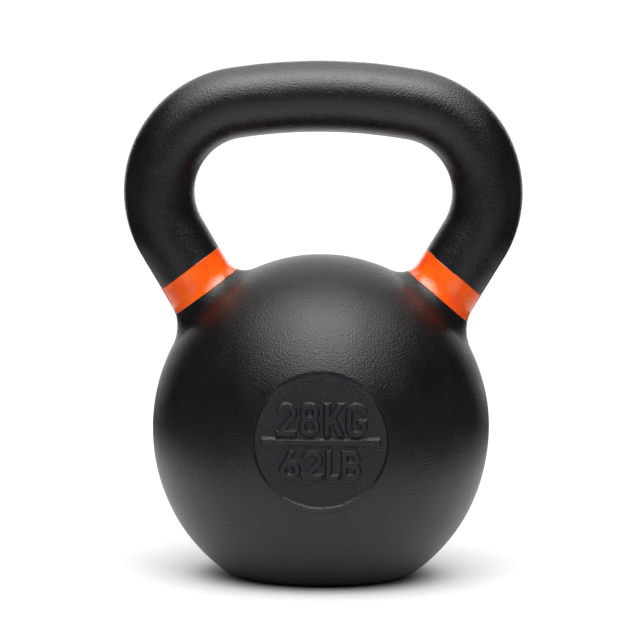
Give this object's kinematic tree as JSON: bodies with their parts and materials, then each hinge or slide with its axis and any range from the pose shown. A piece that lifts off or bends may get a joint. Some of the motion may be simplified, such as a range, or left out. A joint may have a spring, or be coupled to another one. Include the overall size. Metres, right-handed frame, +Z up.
{
  "type": "kettlebell",
  "caption": "Solid cast iron kettlebell with a round ball on a flat base, a wide round handle, a sunk weight medallion and painted colour bands on the horns.",
  "frame": {"origin": "middle of the flat base, which is also the point under the middle of the ball", "axes": "+Z up from the base to the grip, +X along the grip to the right as seen from the front, -Y towards the front, where the weight medallion is"},
  "size_m": [0.2202, 0.1799, 0.2842],
  "materials": {
    "powder_coat": "satin",
    "band_enamel": "gloss"
  },
  "bodies": {
    "root": {"ball": "powder_coat", "handle": "powder_coat", "left_colour_band": "band_enamel", "right_colour_band": "band_enamel"}
  },
  "joints": []
}
